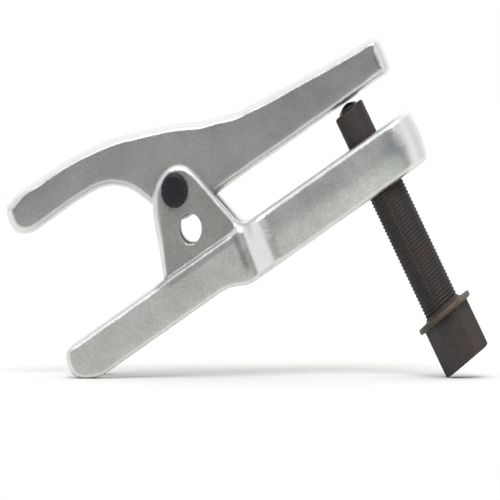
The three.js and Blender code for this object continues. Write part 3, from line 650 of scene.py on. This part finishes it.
y_head = -(EAR_OUTER + 0.1)
groove0 = EAR_OUTER + 0.35 + 1.2 + 0.1
groove1 = groove0 + 1.6
profile = fillet([(0, y_head - 3.3), (1.2, y_head - 3.3), (1.2, y_head - 3.3), (5.6, y_head - 3.3), (6.85, y_head - 2.3),
                  (6.85, y_head), (6.0, y_head), (6.0, groove0), (5.1, groove0), (5.1, groove1), (6.0, groove1),
                  (6.0, 23.2), (5.1, 24.1), (0, 24.1)],
                 [0, 0, 0, 0.35, 0.4, 0.15, 0.1, 0.08, 0.1, 0.1, 0.08, 0.25, 0.25, 0])
vs, fs = spin_rows(profile, 96)
pin_mesh = finish_mesh("pivot_pin_turned", vs, fs, along_pin)
put("pivot_pin_turned", pin_mesh, MAT_PIN, "frame", "black_pin", "pivot_pin")

w0 = EAR_OUTER + 0.12
profile = fillet([(6.35, w0 + 0.6), (6.35, w0), (10.0, w0), (10.0, w0 + 1.2), (6.35, w0 + 1.2), (6.35, w0 + 0.6)], 0.3)
vs, fs = spin_rows(profile, 96)
washer_mesh = finish_mesh("pin_washer_flat", vs, fs, along_pin)
put("pin_washer_flat", washer_mesh, MAT_SPRING, "frame", "spring_steel", "pin_washer")


def open_ring(r_in, r_out, z0, z1, gap, count, edge):
    """A C-shaped ring with softened edges, its section narrowing towards its ends at the gap."""
    rm, hw, hz = (r_in + r_out) / 2, (r_out - r_in) / 2, (z1 - z0) / 2
    sect = []
    for cx, cz, a0 in ((hw - edge, hz - edge, 0), (-(hw - edge), hz - edge, 90),
                       (-(hw - edge), -(hz - edge), 180), (hw - edge, -(hz - edge), 270)):
        sect += arc(cx, cz, edge, a0, a0 + 90, 3)
    verts, faces, m = [], [], len(sect)
    turns = [(gap / 2, 0.55), (gap / 2 + 0.8, 0.86), (gap / 2 + 1.8, 1.0)]
    turns += [(gap / 2 + 1.8 + (360 - gap - 3.6) * k / count, 1.0) for k in range(1, count + 1)]
    turns += [(360 - gap / 2 - 0.8, 0.86), (360 - gap / 2, 0.55)]
    for a, scale in turns:
        c, s = math.cos(rad(a)), math.sin(rad(a))
        for dx, dz in sect:
            r = rm + dx * scale
            verts.append((r * c, r * s, (z0 + z1) / 2 + dz * scale))
    for k in range(len(turns) - 1):
        for i in range(m):
            j = (i + 1) % m
            faces.append((k * m + i, k * m + j, (k + 1) * m + j, (k + 1) * m + i))
    faces.append(tuple(range(m)))
    faces.append(tuple((len(turns) - 1) * m + i for i in reversed(range(m))))
    return verts, faces


vs, fs = open_ring(5.25, 8.2, groove0 + 0.2, groove0 + 1.25, 46, 72, 0.18)
ring_mesh = finish_mesh("pin_retaining_clip", vs, fs, along_pin)
put("pin_retaining_clip", ring_mesh, MAT_SPRING, "frame", "spring_steel", "pin_retaining_ring")

# ---------------------------------------------------------------- forcing screw
N = 144
theta = 2 * np.pi * np.arange(N) / N
lean = np.stack([np.maximum(np.cos(theta - rad(30 + 60 * i)), 0) for i in range(6)])
hex_r = HEX_AF / 2 / (lean ** 110).sum(0) ** (1 / 110)


def cone(z):
    return 11.35 + (z - HEAD_END_Z) * 1.75


rows = [(0, HEAD_END_Z + 0.25), (2.0, HEAD_END_Z + 0.25), (2.6, HEAD_END_Z + 0.02), (7.0, HEAD_END_Z)]
rows += [(np.minimum(hex_r, cone(HEAD_END_Z)) - 0.34, HEAD_END_Z), (np.minimum(hex_r, cone(HEAD_END_Z)) - 0.1, HEAD_END_Z + 0.1)]
rows += [(np.minimum(hex_r, cone(HEAD_END_Z + d)), HEAD_END_Z + d) for d in (0.3, 0.42, 0.55, 0.68, 0.8, 0.95, 1.2, 2.0)]
rows += [(hex_r, HEAD_END_Z + d) for d in (5.0, 10.0, 15.0, 19.0)]
base = COLLAR_TOP_Z - 2.9
for z, r in ((base - 0.5, 0), (base, 12.15), (base + 0.18, 12.9), (base + 0.30, 13.9), (base + 0.42, 14.5), (base + 0.62, 14.85),
             (base + 0.9, 14.98), (base + 1.5, 15.0), (base + 2.25, 14.98), (base + 2.55, 14.85), (base + 2.76, 14.45),
             (base + 2.86, 13.7), (COLLAR_TOP_Z, 12.4), (COLLAR_TOP_Z + 0.12, 10.8), (COLLAR_TOP_Z + 0.35, 10.15)):
    rows.append((np.maximum(hex_r, r) if z < base + 1.0 else r, z))
Z_LO, Z_HI = COLLAR_TOP_Z + 0.6, THREAD_TOP_Z
R_LO, R_HI = 10.0, 8.05
rows.append((R_LO, Z_LO))
vs, fs = spin_rows(rows, N)

# the thread: five lines to a turn, joined one turn further on where the angle comes round
lines = [(0.0, MINOR_R), (0.115, MINOR_R + 0.03), (0.425, MAJOR_R - 0.03), (0.5, MAJOR_R), (0.575, MAJOR_R - 0.03), (0.885, MINOR_R + 0.03)]
L = len(lines)
turns = int(math.ceil((Z_HI - Z_LO) / PITCH)) + 2
start, grid_z, grid_r = len(vs), [], []
for k in range(turns):
    for t, r in lines:
        z = Z_LO - PITCH * 1.05 + PITCH * (k + t + np.arange(N) / N)
        z = np.clip(z, Z_LO, Z_HI)
        low = np.interp(z, [Z_LO, Z_LO + 0.5, Z_LO + 2.2], [R_LO, 9.6, 7.4])
        high = np.interp(z, [Z_HI - 1.9, Z_HI], [9.8, R_HI])
        grid_z.append(z)
        grid_r.append(np.minimum(np.maximum(r, low), high))
grid_z, grid_r = np.array(grid_z), np.array(grid_r)
vs += list(zip((grid_r * np.cos(theta)).ravel(), (grid_r * np.sin(theta)).ravel(), grid_z.ravel()))
total = len(grid_z)
for k in range(total - 1):
    for i in range(N):
        if i < N - 1:
            a, b, c, d = (k, i), (k, i + 1), (k + 1, i + 1), (k + 1, i)
        else:
            if k + 1 + L >= total:
                continue
            a, b, c, d = (k, i), (k + L, 0), (k + 1 + L, 0), (k + 1, i)
        fs.append(tuple(start + r * N + s for r, s in (a, b, c, d)))
# the turn below the first line closes on to the end ring
for k in range(L):
    fs.append((start + N - 1, start + k * N, start + (k + 1) * N))

tip = [(R_HI, Z_HI), (7.98, Z_HI + 0.25)]
tip += fillet([(7.98, Z_HI + 1.0), (7.98, SHOULDER_Z - 1.0), (7.75, SHOULDER_Z - 0.35), (7.0, SHOULDER_Z), (3.7, SHOULDER_Z),
               (3.35, SHOULDER_Z - 0.5), (3.35, -12.5)], 0.3)
tip += [(3.0, -12.9), (0, -12.9)]
v2, f2 = spin_rows(tip, N)
at = len(vs)
vs += v2
fs += [tuple(at + i for i in f) for f in f2]
fs = [f for f in fs if len(set(f)) > 2]
screw_mesh = finish_mesh("pressure_screw_turned", vs, fs, along_screw, 40)
put("pressure_screw_turned", screw_mesh, MAT_SCREW, "screw", "black_screw", "pressure_screw")

profile = fillet([(0, -12.3), (2.5, -12.3), (3.0, -11.8), (3.0, -9.45), (2.3, -9.45), (2.3, -7.95), (3.0, -7.95),
                  (3.0, SHOULDER_Z + 0.12), (5.1, SHOULDER_Z + 0.12), (5.0, -1.85), (3.5, -1.03),
                  (2.35, -0.5), (1.4, -0.2), (0.8, -0.06), (0, 0)], 0.3)
vs, fs = spin_rows(profile, 72)
thrust_mesh = finish_mesh("thrust_point_turned", vs, fs, along_screw)
put("thrust_point_turned", thrust_mesh, MAT_THRUST, "thrust", "thrust_steel", "thrust_point")

vs, fs = open_ring(2.62, 3.9, -9.2, -8.2, 50, 48, 0.2)
snap_mesh = finish_mesh("thrust_snap_ring_wire", vs, fs, along_screw)
put("thrust_snap_ring_wire", snap_mesh, MAT_SPRING, "thrust", "thrust_steel", "thrust_snap_ring")

# ---------------------------------------------------------------- floor
floor_mesh = bpy.data.meshes.new("floor")
F = 2.4
floor_mesh.from_pydata([(-F, -0.75, 0), (F, -0.75, 0), (F, F, 0), (-F, F, 0)], [], [(0, 1, 2, 3)])
floor = bpy.data.objects.new("floor", floor_mesh)
bpy.context.collection.objects.link(floor)
fm = bpy.data.materials.new("pale_floor")
fm.use_nodes = True
fp = fm.node_tree.nodes["Principled BSDF"]
fp.inputs["Base Color"].default_value = (0.757, 0.757, 0.74, 1)
fp.inputs["Roughness"].default_value = 0.9
fp.inputs["Specular IOR Level"].default_value = 0.0
floor_mesh.materials.append(fm)

# ---------------------------------------------------------------- light
world = bpy.data.worlds.new("studio")
bpy.context.scene.world = world
world.use_nodes = True
wt = world.node_tree
wt.nodes.clear()


def wn(kind, **props):
    n = wt.nodes.new(kind)
    for k, v in props.items():
        setattr(n, k, v)
    return n


def wmath(op, a, b=None, clamp=False):
    n = wn("ShaderNodeMath", operation=op, use_clamp=clamp)
    for i, x in enumerate((a, b)):
        if x is None:
            continue
        if isinstance(x, (int, float)):
            n.inputs[i].default_value = x
        else:
            wt.links.new(x, n.inputs[i])
    return n.outputs[0]


def wlobe(direction, inner, outer):
    """1 towards a direction, falling to 0 between two angles in degrees."""
    d = Vector(direction).normalized()
    dot = wn("ShaderNodeVectorMath", operation="DOT_PRODUCT")
    wt.links.new(sky.outputs["Generated"], dot.inputs[0])
    dot.inputs[1].default_value = d
    n = wn("ShaderNodeMapRange", interpolation_type="SMOOTHSTEP")
    n.inputs["From Min"].default_value = math.cos(rad(outer))
    n.inputs["From Max"].default_value = math.cos(rad(inner))
    wt.links.new(dot.outputs["Value"], n.inputs["Value"])
    return n.outputs["Result"]


sky = wn("ShaderNodeTexCoord")
level = 0.70
for direction, inner, outer, amount in (
        ((0.0, 0.15, 1.0), 15, 70, 0.35),         # overhead
        ((0.0, 1.0, 0.10), 30, 75, 0.42),         # lit backdrop
        ((1.0, -0.45, 0.10), 10, 45, 0.38),       # right wall
        ((-1.0, -0.45, 0.15), 10, 55, 0.25),      # left wall
        ((0.0, -1.0, 0.08), 18, 52, -0.46),       # the dark end of the room, behind the camera
        ((0.42, -0.90, 0.0), 5, 20, -0.20)):
    level = wmath("ADD", level, wmath("MULTIPLY", wlobe(direction, inner, outer), amount))
level = wmath("MAXIMUM", level, 0.03)
bg = wn("ShaderNodeBackground")
tint = wn("ShaderNodeMix", data_type="RGBA")
wt.links.new(wlobe((-1, -0.1, 0.2), 20, 90), tint.inputs[0])
tint.inputs[6].default_value = (0.985, 0.995, 0.99, 1)
tint.inputs[7].default_value = (0.93, 0.97, 1.0, 1)
wt.links.new(tint.outputs[2], bg.inputs["Color"])
wt.links.new(level, bg.inputs["Strength"])
seen = wn("ShaderNodeBackground")
seen.inputs["Color"].default_value = (1, 1, 1, 1)
seen.inputs["Strength"].default_value = 1.0
path = wn("ShaderNodeLightPath")
both = wn("ShaderNodeMixShader")
wt.links.new(path.outputs["Is Camera Ray"], both.inputs[0])
wt.links.new(bg.outputs[0], both.inputs[1])
wt.links.new(seen.outputs[0], both.inputs[2])
out = wn("ShaderNodeOutputWorld")
wt.links.new(both.outputs[0], out.inputs["Surface"])


lamp = bpy.data.lights.new("overhead", "SUN")
lamp.energy, lamp.angle = 1.9, rad(36)
sun = bpy.data.objects.new("overhead", lamp)
bpy.context.collection.objects.link(sun)
sun.rotation_euler = Vector((-0.05, 0.95, -1.0)).to_track_quat("-Z", "Y").to_euler()

# ---------------------------------------------------------------- camera
# The picture is a flat telephoto view whose height was stretched by 4/3 against its width.
# A skewed orthographic camera draws that: its film leans back, its line of sight doesn't.
AZ, EL = rad(3.0), rad(2.5)
right = Vector((math.cos(AZ), math.sin(AZ), 0))
back = Vector((math.sin(AZ) * math.cos(EL), -math.cos(AZ) * math.cos(EL), math.sin(EL)))
up = back.cross(right)
lean_angle = math.acos(0.75)
half_angle = rad(90) - (rad(90) - lean_angle) / 2
k = math.tan(half_angle)
turn = lean_angle - half_angle
axis_c = math.cos(turn) * up + math.sin(turn) * back
axis_b = -math.sin(turn) * up + math.cos(turn) * back
skew = bpy.data.objects.new("camera_skew", None)
bpy.context.collection.objects.link(skew)
skew.matrix_world = Matrix((right, axis_c, axis_b)).transposed().to_4x4()
skew.scale = (1, 1, k)
bpy.context.view_layer.update()
cam_data = bpy.data.cameras.new("camera")
cam = bpy.data.objects.new("camera", cam_data)
bpy.context.collection.objects.link(cam)
cam.parent = skew
cam.rotation_euler = (rad(45), 0, 0)
cam.location = skew.matrix_world.inverted() @ (Vector((0.00142, 0, 0.0494)) + back * 1.2)
cam_data.type = "ORTHO"
cam_data.ortho_scale = 0.2594
cam_data.clip_start, cam_data.clip_end = 0.01, 10
bpy.context.scene.camera = cam
bpy.context.scene.view_settings.view_transform = "Standard"
bpy.context.scene.view_settings.look = "None"

bpy.context.view_layer.update()
